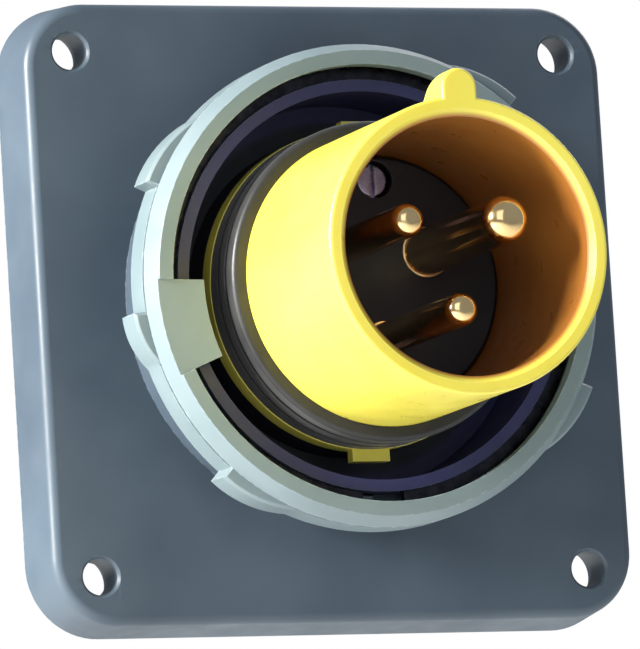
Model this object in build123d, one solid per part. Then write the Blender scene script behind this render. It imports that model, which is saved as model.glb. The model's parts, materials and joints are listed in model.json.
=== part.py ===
from build123d import *
from math import cos, radians, sin
import os

# Watertight pin-and-sleeve power inlet: a square flange that covers a panel cut-out, a yellow
# shroud round three pins, and a bayonet locking ring that turns on the flange's collar.
# Drawn with the inlet's axis along +Z, its front at +Z and 12 o'clock at +Y. Each piece is then
# stood up, so that the front faces -Y and 12 o'clock is +Z. The origin is on the inlet's axis,
# in the plane of the panel that the flange is screwed to. All sizes are in millimetres.

# Flange plate and its skirt
FLANGE_WIDTH = 96.0
FLANGE_DEPTH = 10.0
FLANGE_CORNER_R = 11.0
FLANGE_DRAFT_DEG = 5.7
FLANGE_EDGE_R = 1.5
PLATE_THICKNESS = 5.5
SKIRT_WALL = 4.0
FLANGE_DROP = 1.5
HOLE_SPACING = 79.5
HOLE_R = 2.75
HOLE_CHAMFER = 0.4
HOLE_BOSS_R = 6.0
HOLE_BOSS_BORE_R = 4.2
RIB_THICKNESS = 1.6
RIB_OFFSET = 17.0

# Collar, bayonet spigot and rear spigot of the housing
COLLAR_STEP = 2.0
COLLAR_HEIGHT = 10.8
SPIGOT_WALL = 1.8
SPIGOT_HEIGHT = 5.8
MOAT_WIDTH = 5.1
MOAT_FLOOR = 3.0
SEAL_LEDGE = 2.3
PEDESTAL_HEIGHT = 9.0
REAR_SPIGOT_WALL = 5.0
REAR_SPIGOT_LENGTH = 8.0
REAR_BORE_INSET = 3.4
WEB_THICKNESS = 6.0
WEB_BACK = 6.0
STOP_ANGLE = 95.0
STOP_WIDTH_DEG = 12.0
STOP_HEIGHT = 2.2
STOP_REACH = 1.6

# Panel gasket
PANEL_GASKET_WIDTH = 4.0
GASKET_SEAT_STEP = 1.0

# Locking ring
RING_BEVEL_WIDTH = 1.4
RING_FRONT = 19.5
RING_FACE_WIDTH = 2.2
RING_BEVEL = 3.0
RING_LIP_STEP = 1.8
RING_LIP_THICKNESS = 2.2
RING_CAVITY_GAP = 0.9
RING_LAND_THICKNESS = 3.0
RING_TRAVEL_DEG = 35.0
LUG_REACH = 5.0
LUG_THICKNESS = 2.0
LUG_CENTRE_DEG = 191.0
LUG_WIDTH_DEG = 24.0
GRIP_HEIGHT = 1.9
GRIP_TOP_GAP = 1.6
GRIP_MIDDLE_SHARE = 0.8
GRIPS_DEG = ((136.0, 156.0), (199.0, 186.0), (247.0, 228.0))
RIM_GROOVE_WIDTH = 0.5
RIM_GROOVE_DEPTH = 0.4

# Snap ring that keeps the locking ring on the spigot
SNAP_RING_REACH = 2.2
SNAP_RING_THICKNESS = 1.2
SNAP_GROOVE_DEPTH = 0.8
SNAP_GAP_DEG = 12.0

# Shroud
SHROUD_R = 22.0
SHROUD_WALL = 2.8
SHROUD_HEIGHT = 54.0
SHROUD_LEAD_IN = 1.0
SHROUD_EDGE_R = 0.5
SHROUD_FLANGE_THICKNESS = 3.0
SHROUD_LEDGE = 1.4
KEY_R = 2.8
KEY_RISE = 4.3
KEY_LENGTH = 9.0
KEY_FLAT_LENGTH = 3.0
KEY_FOOT_RISE = 1.4
TAB_WIDTH = 6.0
TAB_REACH = 4.0
TAB_THICKNESS = 2.0
NUB_WIDTH = 3.0
NUB_REACH = 3.6

# Seals
FACE_SEAL_HEIGHT = 9.0
FACE_SEAL_RIBS = 3
FACE_SEAL_WALL = 2.2
FACE_SEAL_GROOVE = 0.8
BASE_SEAL_WIDTH = 1.8
BASE_SEAL_THICKNESS = 1.2
BASE_SEAL_INSET = 2.0
PIN_SEAL_THICKNESS = 1.5

# Pin carrier and its screws
CARRIER_FACE = 20.0
CARRIER_RECESS_DEPTH = 1.0
CARRIER_EDGE_R = 0.6
SCREW_INSET = 3.8
SCREW_HEAD_R = 2.6
SCREW_HEAD_HEIGHT = 1.6
SCREW_HEAD_EDGE_SHARE = 0.33
SCREW_TIP_CHAMFER = 0.4
SCREW_SHANK_R = 1.45
SCREW_SLOT_WIDTH = 0.8
SCREW_SLOT_DEPTH = 0.9
SCREW_ENGAGEMENT = 5.0

# Pins
PIN_CIRCLE_R = 8.8
LINE_PIN_R = 2.5
GROUND_PIN_R = 3.5
LINE_PIN_TIP = 51.0
GROUND_PIN_TIP = 52.5
GROUND_ANGLE = 30.0
LINE_ANGLE = 270.0
NEUTRAL_ANGLE = 150.0
PIN_SHANK_EXTRA_R = 0.3
PIN_COLLAR_EXTRA_R = 1.2
PIN_DOME_SHARE = 0.8
PIN_COLLAR_THICKNESS = 2.0
PIN_TAIL = 8.0

# Terminals, terminal block and their screws
TERMINAL_R = 5.2
TERMINAL_LENGTH = 22.0
WIRE_BORE_R = 3.4
WIRE_BORE_LENGTH = 13.0
TERMINAL_SCREW_R = 1.9
TERMINAL_SCREW_SET_BACK = 5.0
TERMINAL_SCREW_LENGTH = 5.3
TERMINAL_HEAD_R = 3.0
TERMINAL_HEAD_HEIGHT = 2.2
BLOCK_BOSS_R = 20.4
BLOCK_FLANGE_THICKNESS = 9.0
BLOCK_LENGTH = 27.0
BLOCK_SCREW_INSET = 3.0
BLOCK_SCREW_HEAD_R = 2.2
BLOCK_SCREW_ENGAGEMENT = 6.0

# Clearances
SEAT_GAP = 0.05
FIT_GAP = 0.2
RUNNING_GAP = 0.35
AXIAL_GAP = 0.4
THREAD_GAP = 0.05
CUT = 1.0

# Radii, outwards from the shroud
pedestal_r = SHROUD_R + SEAL_LEDGE
moat_r = pedestal_r + MOAT_WIDTH
spigot_r = moat_r + SPIGOT_WALL
collar_r = spigot_r + COLLAR_STEP
stop_r = spigot_r + STOP_REACH
snap_ring_r = spigot_r + SNAP_RING_REACH
ring_lip_r = spigot_r + RING_LIP_STEP
ring_cavity_r = snap_ring_r + RING_CAVITY_GAP
ring_crease_r = ring_lip_r + RING_FACE_WIDTH
ring_r = ring_crease_r + RING_BEVEL_WIDTH
lug_r = ring_lip_r - LUG_REACH
rear_bore_r = moat_r - REAR_BORE_INSET
rear_spigot_r = rear_bore_r + REAR_SPIGOT_WALL
gasket_seat_r = rear_spigot_r + GASKET_SEAT_STEP
panel_gasket_r = gasket_seat_r + PANEL_GASKET_WIDTH
base_seal_r = pedestal_r - BASE_SEAL_INSET
key_top = SHROUD_R + KEY_RISE
tab_r = SHROUD_R + TAB_REACH
nub_r = SHROUD_R + NUB_REACH
block_screw_circle_r = rear_bore_r - BLOCK_SCREW_INSET

# Heights along the axis, from the panel plane
face = FLANGE_DEPTH
collar_top = face + COLLAR_HEIGHT
spigot_top = collar_top + SPIGOT_HEIGHT
moat_floor = face + MOAT_FLOOR
pedestal_top = face + PEDESTAL_HEIGHT
web_top = WEB_BACK + WEB_THICKNESS
ring_bottom = collar_top + AXIAL_GAP
ring_front = face + RING_FRONT
land_top = ring_bottom + RING_LAND_THICKNESS
snap_bottom = land_top + AXIAL_GAP
snap_top = snap_bottom + SNAP_RING_THICKNESS
lip_bottom = ring_front - RING_LIP_THICKNESS
shroud_rim = face + SHROUD_HEIGHT
shroud_flange_top = pedestal_top + SHROUD_FLANGE_THICKNESS
carrier_face = face + CARRIER_FACE
carrier_bottom = web_top + PIN_SEAL_THICKNESS
block_top = WEB_BACK - SEAT_GAP
block_shoulder = block_top - BLOCK_FLANGE_THICKNESS
block_back = block_top - BLOCK_LENGTH
terminal_top = block_top - PIN_COLLAR_THICKNESS - SEAT_GAP
terminal_back = terminal_top - TERMINAL_LENGTH
terminal_screw_height = terminal_back + TERMINAL_SCREW_SET_BACK
shroud_bore_r = SHROUD_R - SHROUD_WALL
shroud_ledge_r = shroud_bore_r - SHROUD_LEDGE
screw_circle_r = shroud_bore_r - SCREW_INSET
carrier_r = shroud_bore_r - FIT_GAP
carrier_neck_r = shroud_ledge_r - FIT_GAP
pedestal_bore_r = shroud_ledge_r
snap_groove_r = spigot_r - SNAP_GROOVE_DEPTH
ring_bore_r = spigot_r + RUNNING_GAP
pins = {
    "line": (LINE_ANGLE, LINE_PIN_R, LINE_PIN_TIP),
    "neutral": (NEUTRAL_ANGLE, LINE_PIN_R, LINE_PIN_TIP),
    "ground": (GROUND_ANGLE, GROUND_PIN_R, GROUND_PIN_TIP),
}


def disc(radius, low, high):
    """A round solid on the axis between two heights."""
    return Pos(0, 0, low) * extrude(Circle(radius), high - low)


def tube(outer_r, inner_r, low, high):
    """A round wall on the axis between two heights."""
    return disc(outer_r, low, high) - disc(inner_r, low - CUT, high + CUT)


def sector(outer_r, inner_r, low, high, start_deg, end_deg):
    """A part of a round wall between two angles, counted from 3 o'clock towards 12."""
    reach = outer_r / cos(radians((end_deg - start_deg) / 4)) + CUT
    angles = [start_deg + (end_deg - start_deg) * step / 2 for step in range(3)]
    corners = [(0, 0)]
    for angle in angles:
        corners.append((reach * cos(radians(angle)), reach * sin(radians(angle))))
    outline = make_face(Polyline(*corners, close=True))
    wedge = Pos(0, 0, low - CUT) * extrude(outline, high - low + 2 * CUT)
    return tube(outer_r, inner_r, low, high) & wedge


def at_angle(shape, radius, angle_deg):
    """Moves a shape from the axis to a place on a circle, turned to face outwards."""
    return Rot(0, 0, angle_deg) * (Pos(radius, 0, 0) * shape)


def rounded_square(width, corner_r):
    return RectangleRounded(width, width, corner_r)


def hole_places():
    half = HOLE_SPACING / 2
    return [(x, y - FLANGE_DROP) for x in (-half, half) for y in (-half, half)]


def flange_housing():
    """Flange, skirt, collar, pedestal and rear spigot: one moulding."""
    outline = Pos(0, -FLANGE_DROP, 0) * rounded_square(FLANGE_WIDTH, FLANGE_CORNER_R)
    body = extrude(outline, FLANGE_DEPTH, taper=FLANGE_DRAFT_DEG)
    body = fillet(body.faces().sort_by(Axis.Z)[-1].edges(), FLANGE_EDGE_R)
    pocket_depth = FLANGE_DEPTH - PLATE_THICKNESS
    pocket_outline = rounded_square(FLANGE_WIDTH - 2 * SKIRT_WALL, FLANGE_CORNER_R - SKIRT_WALL)
    pocket = Pos(0, -FLANGE_DROP, -CUT) * extrude(pocket_outline, pocket_depth + CUT)
    pocket -= disc(gasket_seat_r, -2 * CUT, pocket_depth + CUT)
    for x, y in hole_places():
        pocket -= Pos(x, y, 0) * disc(HOLE_BOSS_R, -2 * CUT, pocket_depth + CUT)
    for sign in (-1, 1):
        rib = Pos(sign * RIB_OFFSET, -FLANGE_DROP, pocket_depth / 2)
        across = Pos(0, sign * RIB_OFFSET - FLANGE_DROP, pocket_depth / 2)
        pocket -= rib * Box(RIB_THICKNESS, FLANGE_WIDTH, pocket_depth)
        pocket -= across * Box(FLANGE_WIDTH, RIB_THICKNESS, pocket_depth)
    pocket += tube(panel_gasket_r + FIT_GAP, gasket_seat_r, -CUT, pocket_depth)
    body -= pocket
    for x, y in hole_places():
        body -= Pos(x, y, 0) * disc(HOLE_R, -CUT, FLANGE_DEPTH + CUT)
        body -= Pos(x, y, 0) * disc(HOLE_BOSS_BORE_R, -CUT, pocket_depth)
        mouth = Cone(HOLE_R, HOLE_R + 2 * HOLE_CHAMFER, 2 * HOLE_CHAMFER)
        body -= Pos(x, y, FLANGE_DEPTH) * mouth
    body += disc(collar_r, face - CUT, collar_top)
    body += disc(spigot_r, face - CUT, spigot_top)
    body += disc(rear_spigot_r, -REAR_SPIGOT_LENGTH, CUT)
    body -= tube(moat_r, pedestal_r, moat_floor, spigot_top + CUT)
    body -= disc(moat_r, pedestal_top, spigot_top + CUT)
    body -= disc(pedestal_bore_r, web_top, spigot_top + CUT)
    body -= disc(rear_bore_r, -REAR_SPIGOT_LENGTH - CUT, WEB_BACK)
    body -= tube(spigot_r + CUT, snap_groove_r, snap_bottom, snap_top)
    seal_out = base_seal_r + BASE_SEAL_WIDTH / 2
    seal_in = base_seal_r - BASE_SEAL_WIDTH / 2
    body -= tube(seal_out, seal_in, pedestal_top - BASE_SEAL_THICKNESS, pedestal_top + CUT)
    for side in (0, 180):
        start = STOP_ANGLE + side - STOP_WIDTH_DEG / 2
        end = start + STOP_WIDTH_DEG
        body += sector(stop_r, spigot_r - CUT, collar_top - CUT, collar_top + STOP_HEIGHT, start, end)
    for angle, pin_r, tip in pins.values():
        body -= at_angle(disc(pin_r + PIN_SHANK_EXTRA_R + FIT_GAP, 0, web_top + CUT), PIN_CIRCLE_R, angle)
    for angle in (90, 270):
        hole = disc(SCREW_SHANK_R + THREAD_GAP, web_top - SCREW_ENGAGEMENT, web_top + CUT)
        body -= at_angle(hole, screw_circle_r, angle)
    for angle in (0, 180):
        hole = disc(SCREW_SHANK_R + THREAD_GAP, 0, WEB_BACK + BLOCK_SCREW_ENGAGEMENT)
        body -= at_angle(hole, block_screw_circle_r, angle)
    return body


def panel_gasket():
    """Flat rubber ring in the flange's pocket, level with the skirt."""
    return tube(panel_gasket_r, gasket_seat_r + FIT_GAP, 0, FLANGE_DEPTH - PLATE_THICKNESS)


def grip(start_deg, end_deg):
    """Saw-tooth finger grip that rises round the ring from start to a step at end."""
    low = ring_bottom
    high = ring_front - GRIP_TOP_GAP - RING_BEVEL / 2
    inner = ring_r - CUT
    middle_deg = (start_deg + end_deg) / 2
    middle_r = ring_r + GRIP_HEIGHT * GRIP_MIDDLE_SHARE
    places = ((inner, start_deg), (ring_r, start_deg), (middle_r, middle_deg))
    places += ((ring_r + GRIP_HEIGHT, end_deg), (inner, end_deg), (inner, middle_deg))
    points = [(radius * cos(radians(angle)), radius * sin(radians(angle))) for radius, angle in places]
    outer_arc = ThreePointArc(points[1], points[2], points[3])
    inner_arc = ThreePointArc(points[4], points[5], points[0])
    edges = [Line(points[0], points[1]), outer_arc, Line(points[3], points[4]), inner_arc]
    solid = Pos(0, 0, low) * extrude(make_face(edges), high - low)
    return chamfer(solid.faces().sort_by(Axis.Z)[-1].edges(), RIM_GROOVE_DEPTH)


def locking_ring():
    """Bayonet ring with two inward lugs, finger grips and slots that limit its turn."""
    profile = Polyline(
        (ring_bore_r, ring_bottom),
        (ring_r, ring_bottom),
        (ring_r, ring_front - RING_BEVEL),
        (ring_crease_r, ring_front),
        (ring_lip_r, ring_front),
        (ring_lip_r, lip_bottom),
        (ring_cavity_r, lip_bottom),
        (ring_cavity_r, land_top),
        (ring_bore_r, land_top),
        close=True,
    )
    body = revolve(Plane.XZ * make_face(profile), Axis.Z)
    groove_r = (ring_crease_r + ring_r) / 2
    groove_z = ring_front - RING_BEVEL
    body -= tube(ring_r + CUT, ring_r - RIM_GROOVE_DEPTH, groove_z - RIM_GROOVE_WIDTH, groove_z)
    for side in (0, 180):
        start = LUG_CENTRE_DEG + side - LUG_WIDTH_DEG / 2
        end = start + LUG_WIDTH_DEG
        lug_top = ring_front - RIM_GROOVE_DEPTH
        body += sector(ring_lip_r + CUT, lug_r, ring_front - LUG_THICKNESS, lug_top, start, end)
        body -= sector(groove_r, ring_lip_r - CUT, lug_top, ring_front + CUT, start, end)
        slot_start = STOP_ANGLE + side - STOP_WIDTH_DEG / 2 - CUT
        slot_end = STOP_ANGLE + side + STOP_WIDTH_DEG / 2 + CUT + RING_TRAVEL_DEG
        slot_r = stop_r + RUNNING_GAP
        body -= sector(slot_r, ring_bore_r - CUT, ring_bottom - CUT, land_top + CUT, slot_start, slot_end)
        for start, end in GRIPS_DEG:
            body += grip(start + side, end + side)
    return body


def ring_snap_ring():
    """Open ring in the spigot's groove, over the locking ring's land."""
    wall = tube(snap_ring_r, snap_groove_r + SEAT_GAP, snap_bottom, snap_top)
    start = 270 - SNAP_GAP_DEG / 2
    end = start + SNAP_GAP_DEG
    gap = sector(snap_ring_r + CUT, spigot_r - 2 * CUT, snap_bottom - CUT, snap_top + CUT, start, end)
    return wall - gap


def key_rib():
    """Rounded polarising key at 12 o'clock, highest at the rim and sloping back to the wall."""
    centre_y = key_top - KEY_R
    root_y = SHROUD_R - SHROUD_WALL / 2
    section = make_face(
        [
            Line((-KEY_R, root_y), (KEY_R, root_y)),
            Line((KEY_R, root_y), (KEY_R, centre_y)),
            ThreePointArc((KEY_R, centre_y), (0, key_top), (-KEY_R, centre_y)),
            Line((-KEY_R, centre_y), (-KEY_R, root_y)),
        ]
    )
    rib = Pos(0, 0, shroud_rim - KEY_LENGTH) * extrude(section, KEY_LENGTH)
    rise = key_top - SHROUD_R
    slope = make_face(
        Polyline(
            (SHROUD_R - rise, shroud_rim - KEY_LENGTH - CUT),
            (key_top + CUT, shroud_rim - KEY_LENGTH - CUT),
            (key_top + CUT, shroud_rim - KEY_FLAT_LENGTH),
            (key_top, shroud_rim - KEY_FLAT_LENGTH),
            (SHROUD_R - KEY_FOOT_RISE, shroud_rim - KEY_LENGTH),
            close=True,
        )
    )
    rib -= extrude(Plane.YZ * slope, 2 * KEY_R, both=True)
    return rib - disc(SHROUD_R - SHROUD_WALL / 2, 0, shroud_rim + CUT)


def shroud():
    """Sleeve round the pins, with its base flange, inner ledge, key, tab and nub."""
    body = disc(SHROUD_R, pedestal_top, shroud_rim)
    body += key_rib()
    body += disc(pedestal_r, pedestal_top, shroud_flange_top)
    tab_low = shroud_flange_top - TAB_THICKNESS
    tab = Pos(0, -tab_r / 2, tab_low) * extrude(Rectangle(TAB_WIDTH, tab_r), TAB_THICKNESS)
    nub = Pos(0, nub_r / 2, tab_low) * extrude(Rectangle(NUB_WIDTH, nub_r), TAB_THICKNESS)
    body += tab
    body += nub
    body -= disc(shroud_bore_r, shroud_flange_top, shroud_rim + CUT)
    body -= disc(shroud_ledge_r, pedestal_top - CUT, shroud_rim)
    outer_rim = body.faces().filter_by(Axis.Z).sort_by(Axis.Z)[-1].outer_wire().edges()
    body = fillet(outer_rim, SHROUD_EDGE_R)
    funnel = Cone(shroud_bore_r - CUT, shroud_bore_r + SHROUD_LEAD_IN, CUT + SHROUD_LEAD_IN)
    body -= Pos(0, 0, shroud_rim - (CUT + SHROUD_LEAD_IN) / 2) * funnel
    return body


def face_seal():
    """Ribbed rubber sleeve round the shroud's foot, which the connector's rim presses on."""
    outer = SHROUD_R + FACE_SEAL_WALL
    body = tube(outer, SHROUD_R + SEAT_GAP, shroud_flange_top, shroud_flange_top + FACE_SEAL_HEIGHT)
    pitch = FACE_SEAL_HEIGHT / FACE_SEAL_RIBS
    for index in range(1, FACE_SEAL_RIBS):
        middle = shroud_flange_top + pitch * index
        low, high = middle - FACE_SEAL_GROOVE / 2, middle + FACE_SEAL_GROOVE / 2
        body -= tube(outer + CUT, outer - FACE_SEAL_GROOVE, low, high)
    top_edge = body.faces().sort_by(Axis.Z)[-1].edges().sort_by(SortBy.LENGTH)[-1]
    return fillet(top_edge, FACE_SEAL_GROOVE)


def shroud_base_seal():
    """Square-section rubber ring in the pedestal, under the shroud's flange."""
    half = BASE_SEAL_WIDTH / 2
    return tube(base_seal_r + half, base_seal_r - half, pedestal_top - BASE_SEAL_THICKNESS, pedestal_top)


def pin_carrier():
    """Insulating body that holds the pins and clamps the shroud's ledge to the pedestal."""
    body = disc(carrier_r, shroud_flange_top, carrier_face)
    body = fillet(body.faces().sort_by(Axis.Z)[-1].edges(), CARRIER_EDGE_R)
    body += disc(carrier_neck_r, carrier_bottom, shroud_flange_top + CUT)
    for angle, pin_r, tip in pins.values():
        hole = disc(pin_r + PIN_SHANK_EXTRA_R + SEAT_GAP, 0, carrier_face + CUT)
        body -= at_angle(hole, PIN_CIRCLE_R, angle)
    for angle in (90, 270):
        seat = carrier_face - CARRIER_RECESS_DEPTH - SCREW_HEAD_HEIGHT
        head = disc(SCREW_HEAD_R + FIT_GAP, seat, carrier_face + CUT)
        hole = disc(SCREW_SHANK_R + FIT_GAP, 0, carrier_face)
        body -= at_angle(head + hole, screw_circle_r, angle)
    return body


def pin_seal_disc():
    """Rubber disc under the carrier that seals round every pin."""
    body = disc(carrier_neck_r, web_top, web_top + PIN_SEAL_THICKNESS)
    for angle, pin_r, tip in pins.values():
        body -= at_angle(disc(pin_r + PIN_SHANK_EXTRA_R, 0, carrier_face), PIN_CIRCLE_R, angle)
    for angle in (90, 270):
        body -= at_angle(disc(SCREW_SHANK_R + FIT_GAP, 0, carrier_face), screw_circle_r, angle)
    return body


def slotted_screw(head_r, head_height, head_top, shank_r, tip):
    """Pan-head screw pointing down the axis, with a straight slot and a chamfered tip."""
    head = disc(head_r, head_top - head_height, head_top)
    head = fillet(head.faces().sort_by(Axis.Z)[-1].edges(), head_height * SCREW_HEAD_EDGE_SHARE)
    head -= Pos(0, 0, head_top) * Box(2 * head_r + CUT, SCREW_SLOT_WIDTH, 2 * SCREW_SLOT_DEPTH)
    shank = disc(shank_r, tip, head_top - head_height)
    shank = chamfer(shank.faces().sort_by(Axis.Z)[0].edges(), SCREW_TIP_CHAMFER)
    return head + shank


def carrier_screws():
    """Two screws through the carrier into the housing's web."""
    head_top = carrier_face - CARRIER_RECESS_DEPTH
    tip = web_top - SCREW_ENGAGEMENT + FIT_GAP
    screw = slotted_screw(SCREW_HEAD_R, SCREW_HEAD_HEIGHT, head_top, SCREW_SHANK_R, tip)
    return [at_angle(screw, screw_circle_r, angle) for angle in (90, 270)]


def pin(angle, radius, tip):
    """Contact pin with a domed tip, a thicker shank, a collar under the web and a tail."""
    top = face + tip
    contact = disc(radius, block_top, top)
    body = fillet(contact.faces().sort_by(Axis.Z)[-1].edges(), radius * PIN_DOME_SHARE)
    body += disc(radius + PIN_SHANK_EXTRA_R, block_top - PIN_COLLAR_THICKNESS, carrier_face)
    body += disc(radius + PIN_COLLAR_EXTRA_R, block_top - PIN_COLLAR_THICKNESS, block_top)
    body += disc(LINE_PIN_R, terminal_top - PIN_TAIL, block_top)
    return at_angle(body, PIN_CIRCLE_R, angle)


def terminal(angle):
    """Brass barrel on the pin's tail, with a wire bore and a tapped cross hole."""
    body = disc(TERMINAL_R, terminal_back, terminal_top)
    body -= disc(LINE_PIN_R + SEAT_GAP, terminal_top - PIN_TAIL - SEAT_GAP, terminal_top + CUT)
    body -= disc(WIRE_BORE_R, terminal_back - CUT, terminal_back + WIRE_BORE_LENGTH)
    cross = Rot(0, 90, 0) * disc(TERMINAL_SCREW_R + RUNNING_GAP, 0, 2 * TERMINAL_R)
    body -= Pos(0, 0, terminal_screw_height) * cross
    return at_angle(body, PIN_CIRCLE_R, angle)


def terminal_screw(angle):
    """Slotted screw that points inwards at the wire bore, drawn backed off."""
    tip = WIRE_BORE_R + FIT_GAP
    head_top = tip + TERMINAL_SCREW_LENGTH + TERMINAL_HEAD_HEIGHT
    screw = slotted_screw(TERMINAL_HEAD_R, TERMINAL_HEAD_HEIGHT, head_top, TERMINAL_SCREW_R, tip)
    return at_angle(Pos(0, 0, terminal_screw_height) * (Rot(0, 90, 0) * screw), PIN_CIRCLE_R, angle)


def terminal_block():
    """Insulating block behind the web, with a cell for each terminal."""
    body = disc(rear_bore_r - FIT_GAP, block_shoulder, block_top)
    body += disc(BLOCK_BOSS_R, block_back, block_top)
    for angle, pin_r, tip in pins.values():
        collar_r = pin_r + PIN_COLLAR_EXTRA_R + FIT_GAP
        cell = disc(TERMINAL_R + FIT_GAP, block_back - CUT, terminal_top + SEAT_GAP)
        collar = disc(collar_r, terminal_top, block_top + CUT)
        access_r = TERMINAL_HEAD_R + RUNNING_GAP
        access = Rot(0, 90, 0) * disc(access_r, 0, BLOCK_BOSS_R)
        slot = Box(BLOCK_BOSS_R, 2 * access_r, BLOCK_BOSS_R)
        slot = Pos(BLOCK_BOSS_R / 2, 0, -BLOCK_BOSS_R / 2) * slot
        body -= at_angle(cell + collar, PIN_CIRCLE_R, angle)
        body -= at_angle(Pos(0, 0, terminal_screw_height) * (access + slot), PIN_CIRCLE_R, angle)
    for angle in (0, 180):
        hole = disc(SCREW_SHANK_R + FIT_GAP, block_shoulder - CUT, block_top + CUT)
        body -= at_angle(hole, block_screw_circle_r, angle)
    return body


def block_screws():
    """Two screws from behind, through the block's flange into the housing."""
    tip = block_top + BLOCK_SCREW_ENGAGEMENT - FIT_GAP
    head_top = BLOCK_FLANGE_THICKNESS + SCREW_HEAD_HEIGHT
    screw = slotted_screw(BLOCK_SCREW_HEAD_R, SCREW_HEAD_HEIGHT, head_top, SCREW_SHANK_R, block_top - tip)
    turned = Pos(0, 0, block_top) * (Rot(180, 0, 0) * screw)
    return [at_angle(turned, block_screw_circle_r, angle) for angle in (0, 180)]


def write(name, pieces):
    """Stands the pieces up, front to -Y, and writes them as one STEP file."""
    pieces = pieces if isinstance(pieces, list) else [pieces]
    solids = [solid for piece in pieces for solid in (Rot(90, 0, 0) * piece).solids()]
    shape = solids[0] if len(solids) == 1 else Compound(children=solids)
    export_step(shape, f"parts/{name}.step")


os.makedirs("parts", exist_ok=True)
write("flange_housing", flange_housing())
write("panel_gasket", panel_gasket())
write("locking_ring", locking_ring())
write("ring_snap_ring", ring_snap_ring())
write("shroud", shroud())
write("face_seal", face_seal())
write("shroud_base_seal", shroud_base_seal())
write("pin_carrier", pin_carrier())
write("pin_seal_disc", pin_seal_disc())
write("carrier_screws", carrier_screws())
write("terminal_block", terminal_block())
write("block_screws", block_screws())
for pin_name, (pin_angle, pin_radius, pin_tip) in pins.items():
    write(f"{pin_name}_pin", pin(pin_angle, pin_radius, pin_tip))
    write(f"{pin_name}_terminal", terminal(pin_angle))
    write(f"{pin_name}_terminal_screw", terminal_screw(pin_angle))
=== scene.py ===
import json
from math import radians

import bpy
from mathutils import Euler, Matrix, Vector

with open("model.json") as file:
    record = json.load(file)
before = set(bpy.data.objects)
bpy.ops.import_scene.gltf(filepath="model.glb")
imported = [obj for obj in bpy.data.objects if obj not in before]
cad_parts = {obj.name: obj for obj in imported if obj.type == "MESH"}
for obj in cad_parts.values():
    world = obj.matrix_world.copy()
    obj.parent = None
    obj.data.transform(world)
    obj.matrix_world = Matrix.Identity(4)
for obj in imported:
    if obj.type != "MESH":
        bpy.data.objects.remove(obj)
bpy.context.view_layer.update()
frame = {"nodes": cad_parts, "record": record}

MM = 0.001
WHITE = (1, 1, 1)
BLACK = (0, 0, 0)

# The camera looks from the left of the inlet and from a little below it.
AIM = Vector((-10.9, -31.5, -6.7)) * MM
DISTANCE = 1.3656
HEADING = radians(22.49)
PITCH = radians(7.95)
ROLL = radians(3.58)
LENS = 510.1
SENSOR = 36.0

CLIP_END = 50

# Each light's place, size, power and colour
LIGHTS = {
    "key": ((-1.25, -0.16, 0.40), 0.40, 62.0, (1.0, 0.99, 0.95)),
    "fill": ((-0.50, -1.30, 0.40), 0.90, 3.4, (0.90, 0.94, 1.0)),
    "rim": ((0.70, 0.50, 0.60), 0.60, 4.0, WHITE),
}
SKY_COLOUR = (0.80, 0.88, 1.0, 1)
SKY_STRENGTH = 0.36
FLOOR_Z = -0.32
FLOOR_SIZE = 12.0

# Distances from the inlet's axis, in metres, where a node's paint changes to painted shade
SPIGOT_SHADE_EDGE = (0.0311, 0.0313)
SEAL_FOOT_SHADOW_EDGE = (0.0262, 0.0275)
SHROUD_BORE_SHADE_EDGE = (0.0193, 0.0199)

# Paint: darker and lighter patches, then worn edges
HOUSING_PAINT = ((0.048, 0.068, 0.092), (0.070, 0.096, 0.124), (0.20, 0.25, 0.28))
RING_PAINT = ((0.150, 0.200, 0.215), (0.190, 0.240, 0.255), (0.36, 0.42, 0.43))
CARRIER_PAINT = ((0.006, 0.006, 0.008), (0.014, 0.013, 0.016), (0.05, 0.05, 0.055))
SHROUD_PAINT = ((0.74, 0.62, 0.060), (0.84, 0.74, 0.120), (0.90, 0.84, 0.32))
# The housing within the ring, as painted shade: darker and lighter navy patches, then a black band of
# painted shadow at the seal's foot
MOAT_SHADE_PAINT = ((0.018, 0.020, 0.075), (0.030, 0.032, 0.110), (0.006, 0.007, 0.012))
# Painted shade and painted bounce light inside the shroud's bore: darker and lighter orange-brown
SHROUD_BORE_SHADE_PAINT = ((0.30, 0.105, 0.018), (0.40, 0.160, 0.028))
RUBBER_PAINT = ((0.006, 0.006, 0.007), (0.022, 0.021, 0.020))
# Painted sheen: the screw's steel is tinted purple
SCREW_SHEEN_PAINT = ((0.34, 0.30, 0.42), (0.55, 0.50, 0.62))
# Painted shade: the spring ring's steel is near-black
SPRING_SHADE_PAINT = ((0.020, 0.020, 0.028), (0.045, 0.045, 0.055))
FLOOR_PAINT = ((0.80, 0.80, 0.79), (0.84, 0.84, 0.83))

# Wear on edges: how far it reaches, and how much turn of the surface counts as an edge
WEAR_REACH = 0.0004
WEAR_SAMPLES = 4
WEAR_TURN = (0.80, 0.97)

# Rounding of the CAD nodes' edges, in metres
EDGE_WIDTHS = {
    "flange_housing": 0.00025,
    "locking_ring": 0.00022,
    "shroud": 0.00018,
    "panel_gasket": 0.0002,
}
SMALL_EDGE = 0.0001
EDGE_SEGMENTS = 2
EDGE_ANGLE = radians(35)
WELD_DISTANCE = 0.000001


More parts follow.
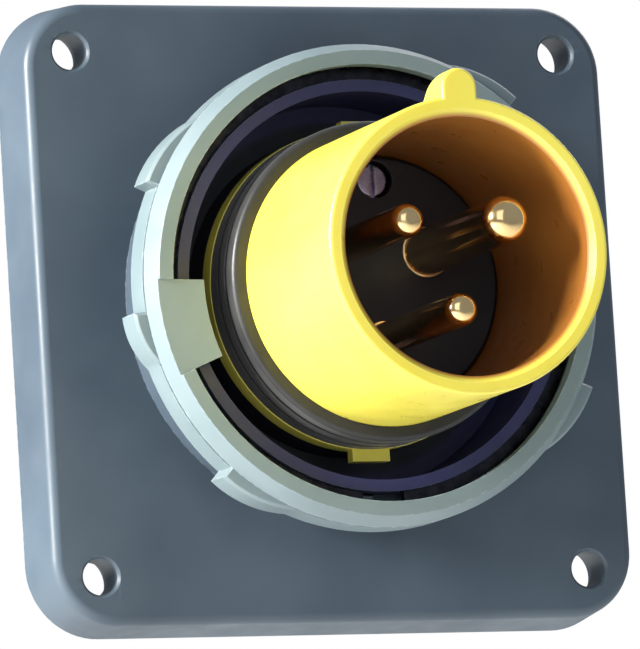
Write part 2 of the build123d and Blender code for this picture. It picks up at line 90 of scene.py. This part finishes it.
class Nodes:
    """A material's node tree, with one short method for each kind of node used here."""

    def __init__(self, name):
        self.material = bpy.data.materials.new(name)
        self.material.use_nodes = True
        self.tree = self.material.node_tree
        self.shader = self.tree.nodes["Principled BSDF"]
        self.place = self.add("ShaderNodeTexCoord").outputs["Object"]

    def add(self, kind, **settings):
        node = self.tree.nodes.new(kind)
        for key, value in settings.items():
            setattr(node, key, value)
        return node

    def link(self, source, target):
        self.tree.links.new(source, target)

    def noise(self, scale, detail=4.0, stretch=(1, 1, 1)):
        """Noise in the object's own space, with scale in features per metre."""
        mapping = self.add("ShaderNodeMapping")
        mapping.inputs["Scale"].default_value = stretch
        self.link(self.place, mapping.inputs["Vector"])
        node = self.add("ShaderNodeTexNoise")
        node.inputs["Scale"].default_value = scale
        node.inputs["Detail"].default_value = detail
        self.link(mapping.outputs["Vector"], node.inputs["Vector"])
        return node.outputs["Fac"]

    def ramp(self, source, low, high, first, last):
        """Maps a value between low and high to a colour or grey between first and last."""
        node = self.add("ShaderNodeValToRGB")
        node.color_ramp.elements[0].position = low
        node.color_ramp.elements[1].position = high
        node.color_ramp.elements[0].color = (*first, 1)
        node.color_ramp.elements[1].color = (*last, 1)
        self.link(source, node.inputs["Fac"])
        return node.outputs["Color"]

    def mix(self, factor, a, b):
        node = self.add("ShaderNodeMix", data_type="RGBA")
        self.link(factor, node.inputs["Factor"])
        self.link(a, node.inputs[6])
        self.link(b, node.inputs[7])
        return node.outputs[2]

    def edges(self):
        """1 on sharp edges, 0 elsewhere, from how far rounding would turn the surface."""
        rounded = self.add("ShaderNodeBevel", samples=WEAR_SAMPLES)
        rounded.inputs["Radius"].default_value = WEAR_REACH
        geometry = self.add("ShaderNodeNewGeometry")
        dot = self.add("ShaderNodeVectorMath", operation="DOT_PRODUCT")
        self.link(rounded.outputs["Normal"], dot.inputs[0])
        self.link(geometry.outputs["Normal"], dot.inputs[1])
        return self.ramp(dot.outputs["Value"], *WEAR_TURN, WHITE, BLACK)

    def from_axis(self, low, high):
        """0 within the low radius round the inlet's axis and 1 beyond the high one, in metres."""
        flat = self.add("ShaderNodeVectorMath", operation="MULTIPLY")
        flat.inputs[1].default_value = (1, 0, 1)
        self.link(self.place, flat.inputs[0])
        length = self.add("ShaderNodeVectorMath", operation="LENGTH")
        self.link(flat.outputs["Vector"], length.inputs[0])
        return self.between(length.outputs["Value"], low, high)

    def between(self, value, low, high):
        """0 below low and 1 above high."""
        node = self.add("ShaderNodeMapRange")
        node.inputs["From Min"].default_value = low
        node.inputs["From Max"].default_value = high
        self.link(value, node.inputs["Value"])
        return node.outputs["Result"]

    def colour(self, value):
        node = self.add("ShaderNodeRGB")
        node.outputs[0].default_value = (*value, 1)
        return node.outputs[0]

    def bump(self, layers):
        """Stacks bump layers of (height value, distance in metres, strength)."""
        normal = None
        for height, distance, strength in layers:
            node = self.add("ShaderNodeBump")
            node.inputs["Distance"].default_value = distance
            node.inputs["Strength"].default_value = strength
            self.link(height, node.inputs["Height"])
            if normal:
                self.link(normal, node.inputs["Normal"])
            normal = node.outputs["Normal"]
        self.link(normal, self.shader.inputs["Normal"])

    def set(self, **values):
        for name, value in values.items():
            self.shader.inputs[name.replace("_", " ")].default_value = value

    def base(self, colour):
        self.link(colour, self.shader.inputs["Base Color"])

    def rough(self, source, low, high):
        grey = self.ramp(source, 0.3, 0.7, (low, low, low), (high, high, high))
        self.link(grey, self.shader.inputs["Roughness"])


def moulded_plastic(name, paint, roughness, inner_shade=None):
    """Moulded plastic: faint cloudy colour, fine grain and scuffed edges.

    The optional last argument is painted shade: navy patches over all of the node that is within the
    spigot's outside, with a black band of painted shadow near the seal's foot.
    """
    n = Nodes(name)
    dark, light, edge = paint
    cloud = n.ramp(n.noise(38.0, 5.0), 0.35, 0.68, dark, light)
    scuffed = n.ramp(n.noise(900.0, 3.0), 0.45, 0.62, dark, edge)
    colour = n.mix(n.edges(), cloud, scuffed)
    # Painted shade: navy within the ring, with a black band of painted shadow near the seal's foot
    if inner_shade:
        shade_dark, shade_light, foot_shadow = inner_shade
        within = n.ramp(n.noise(60.0, 4.0), 0.3, 0.7, shade_dark, shade_light)
        within = n.mix(n.from_axis(*SEAL_FOOT_SHADOW_EDGE), n.colour(foot_shadow), within)
        colour = n.mix(n.from_axis(*SPIGOT_SHADE_EDGE), within, colour)
    n.base(colour)
    n.rough(n.noise(160.0, 6.0), roughness[0], roughness[1])
    n.bump(((n.noise(5200.0, 2.0), 0.00004, 0.35), (n.noise(75.0, 3.0), 0.0004, 0.12)))
    n.set(Specular_IOR_Level=0.45, IOR=1.49)
    return n.material


def yellow_plastic():
    """Glossier yellow plastic with slight flow marks along the sleeve; the bore's orange-brown is
    painted shade and painted bounce light.
    """
    n = Nodes("yellow_plastic")
    dark, light, worn = SHROUD_PAINT
    cloud = n.ramp(n.noise(30.0, 4.0, (1, 0.35, 1)), 0.3, 0.7, dark, light)
    edge = n.ramp(n.noise(700.0, 3.0), 0.4, 0.6, light, worn)
    outside = n.mix(n.edges(), cloud, edge)
    # Painted shade and painted bounce light: the bore turns orange-brown
    bore_shade = n.ramp(n.noise(55.0, 4.0), 0.3, 0.7, *SHROUD_BORE_SHADE_PAINT)
    n.base(n.mix(n.from_axis(*SHROUD_BORE_SHADE_EDGE), bore_shade, outside))
    n.rough(n.noise(210.0, 5.0), 0.26, 0.42)
    n.bump(((n.noise(4200.0, 2.0), 0.00003, 0.22), (n.noise(60.0, 2.0), 0.0004, 0.10)))
    n.set(Subsurface_Weight=0.12, Subsurface_Radius=(0.004, 0.002, 0.0004), Subsurface_Scale=0.5)
    n.set(Coat_Weight=0.15, Coat_Roughness=0.25)
    return n.material


def rubber():
    """Black rubber with a greyish bloom and a slightly pitted skin."""
    n = Nodes("black_rubber")
    n.base(n.ramp(n.noise(120.0, 5.0), 0.35, 0.75, *RUBBER_PAINT))
    n.rough(n.noise(300.0, 4.0), 0.38, 0.62)
    n.bump(((n.noise(3800.0, 3.0), 0.00006, 0.4),))
    n.set(Sheen_Weight=0.15, Sheen_Roughness=0.5)
    return n.material


def brass():
    """Turned and polished brass with fine rings and a little tarnish."""
    n = Nodes("brass")
    bright, warm, tarnish = (0.95, 0.72, 0.36), (0.80, 0.50, 0.22), (0.30, 0.17, 0.07)
    clean = n.ramp(n.noise(90.0, 4.0), 0.3, 0.7, warm, bright)
    stain = n.ramp(n.noise(240.0, 6.0), 0.55, 0.8, warm, tarnish)
    spots = n.ramp(n.noise(420.0, 5.0), 0.60, 0.78, BLACK, WHITE)
    n.base(n.mix(spots, clean, stain))
    n.rough(n.noise(600.0, 4.0), 0.10, 0.24)
    n.bump(((n.noise(900.0, 2.0, (0.15, 6.0, 0.15)), 0.00003, 0.25),))
    n.set(Metallic=1.0)
    return n.material


def steel(name, paint):
    """Steel with a fine even grain; the screw's purple tint is painted sheen and the spring's
    near-black is painted shade.
    """
    n = Nodes(name)
    n.base(n.ramp(n.noise(500.0, 4.0), 0.35, 0.7, *paint))
    n.rough(n.noise(800.0, 4.0), 0.22, 0.40)
    n.bump(((n.noise(2500.0, 2.0), 0.00003, 0.3),))
    n.set(Metallic=1.0)
    return n.material


def materials():
    """One material for each material slot of the record."""
    return {
        # The housing's material also carries the painted shade within the ring
        "housing_plastic": moulded_plastic("housing_plastic", HOUSING_PAINT, (0.36, 0.52), MOAT_SHADE_PAINT),
        "ring_plastic": moulded_plastic("ring_plastic", RING_PAINT, (0.34, 0.50)),
        "carrier_plastic": moulded_plastic("carrier_plastic", CARRIER_PAINT, (0.30, 0.48)),
        "shroud_plastic": yellow_plastic(),
        "black_rubber": rubber(),
        "brass": brass(),
        # The screw's purple tint is painted sheen
        "screw_steel": steel("screw_steel", SCREW_SHEEN_PAINT),
        # The spring's near-black is painted shade
        "spring_steel": steel("spring_steel", SPRING_SHADE_PAINT),
    }


def finish_node(node, material, edge_width):
    """Gives a CAD node its material, softened edges and smooth round faces."""
    node.data.materials.clear()
    node.data.materials.append(material)
    weld = node.modifiers.new("weld", "WELD")
    weld.merge_threshold = WELD_DISTANCE
    bevel = node.modifiers.new("soft_edges", "BEVEL")
    bevel.width = edge_width
    bevel.segments = EDGE_SEGMENTS
    bevel.limit_method = "ANGLE"
    bevel.angle_limit = EDGE_ANGLE
    bevel.use_clamp_overlap = True
    node.modifiers.new("normals", "WEIGHTED_NORMAL").keep_sharp = True
    for face in node.data.polygons:
        face.use_smooth = True


made = materials()
slots = {row["node"]: row["material_slot"] for row in frame["record"]["subparts"]}
for node_name, node_object in frame["nodes"].items():
    finish_node(node_object, made[slots[node_name]], EDGE_WIDTHS.get(node_name, SMALL_EDGE))


def add_floor():
    """A pale floor, well below the inlet."""
    bpy.ops.mesh.primitive_plane_add(size=FLOOR_SIZE, location=(0, 0, FLOOR_Z))
    floor = bpy.context.object
    floor.name = "floor"
    n = Nodes("floor")
    n.base(n.ramp(n.noise(3.0), 0.3, 0.7, *FLOOR_PAINT))
    n.set(Roughness=0.8)
    floor.data.materials.append(n.material)


def add_light(name, place, size, power, colour):
    """A soft square light aimed at the inlet."""
    data = bpy.data.lights.new(name, "AREA")
    data.size = size
    data.energy = power
    data.color = colour
    light = bpy.data.objects.new(name, data)
    light.location = place
    light.rotation_euler = (AIM - Vector(place)).to_track_quat("-Z", "Y").to_euler()
    bpy.context.scene.collection.objects.link(light)


def add_world():
    """A dim, even sky for the light, which the camera sees as a white backdrop."""
    world = bpy.data.worlds.new("studio")
    bpy.context.scene.world = world
    world.use_nodes = True
    tree = world.node_tree
    tree.nodes.clear()
    sky = tree.nodes.new("ShaderNodeBackground")
    sky.inputs["Color"].default_value = SKY_COLOUR
    sky.inputs["Strength"].default_value = SKY_STRENGTH
    backdrop = tree.nodes.new("ShaderNodeBackground")
    backdrop.inputs["Color"].default_value = (*WHITE, 1)
    backdrop.inputs["Strength"].default_value = 1.0
    path = tree.nodes.new("ShaderNodeLightPath")
    blend = tree.nodes.new("ShaderNodeMixShader")
    output = tree.nodes.new("ShaderNodeOutputWorld")
    tree.links.new(path.outputs["Is Camera Ray"], blend.inputs["Fac"])
    tree.links.new(sky.outputs["Background"], blend.inputs[1])
    tree.links.new(backdrop.outputs["Background"], blend.inputs[2])
    tree.links.new(blend.outputs["Shader"], output.inputs["Surface"])


def add_camera():
    data = bpy.data.cameras.new("camera")
    data.sensor_width = SENSOR
    data.sensor_fit = "AUTO"
    data.lens = LENS
    data.clip_end = CLIP_END
    camera = bpy.data.objects.new("camera", data)
    look = Euler((radians(90) + PITCH, 0, -HEADING)).to_matrix()
    camera.location = AIM + look @ Vector((0, 0, DISTANCE))
    roll = Euler((0, 0, -ROLL)).to_matrix()
    camera.rotation_euler = (look @ roll).to_euler()
    bpy.context.scene.collection.objects.link(camera)
    bpy.context.scene.camera = camera


add_floor()
add_world()
for light_name, light_settings in LIGHTS.items():
    add_light(light_name, *light_settings)
add_camera()

bpy.context.scene.view_settings.view_transform = "Standard"
